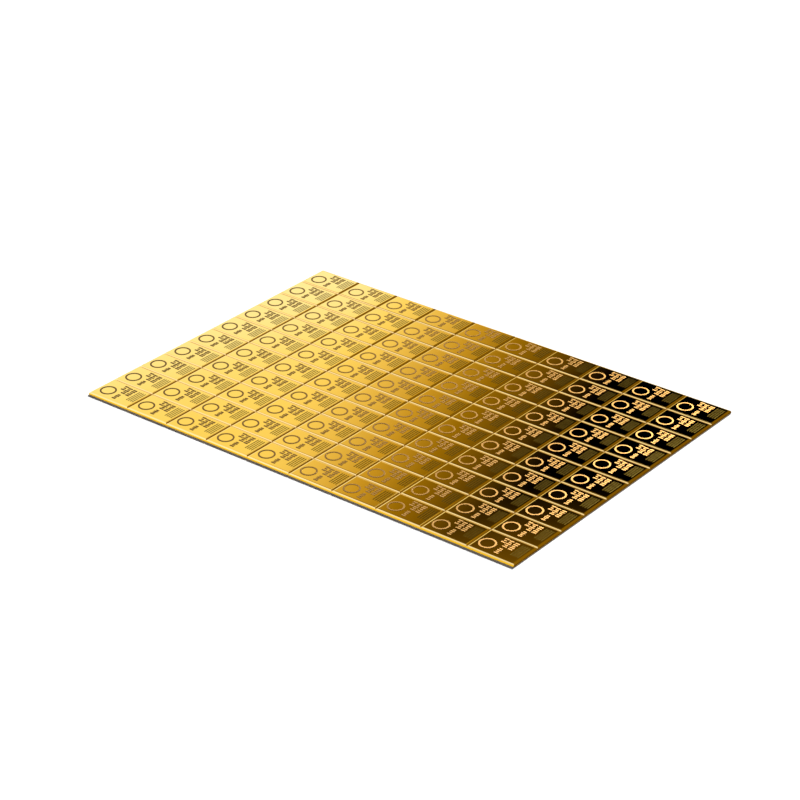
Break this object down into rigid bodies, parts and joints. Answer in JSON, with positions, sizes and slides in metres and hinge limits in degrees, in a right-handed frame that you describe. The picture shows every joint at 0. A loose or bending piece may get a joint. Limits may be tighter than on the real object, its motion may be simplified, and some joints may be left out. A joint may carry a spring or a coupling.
{
  "type": "scored gold ingot sheet",
  "caption": "Thin rectangular sheet of polished gold, scored on both faces into a grid of small bevelled ingots that snap apart by hand.",
  "frame": {"origin": "middle of the underside, on the surface that the sheet lies on", "axes": "+X along the long side, +Y along the short side, +Z out of the struck face"},
  "size_m": [0.115, 0.08, 0.0006],
  "materials": {
    "gold": "mirror-polished gold with matt struck marks"
  },
  "bodies": {
    "root": {"scored_sheet": "gold"}
  },
  "joints": []
}
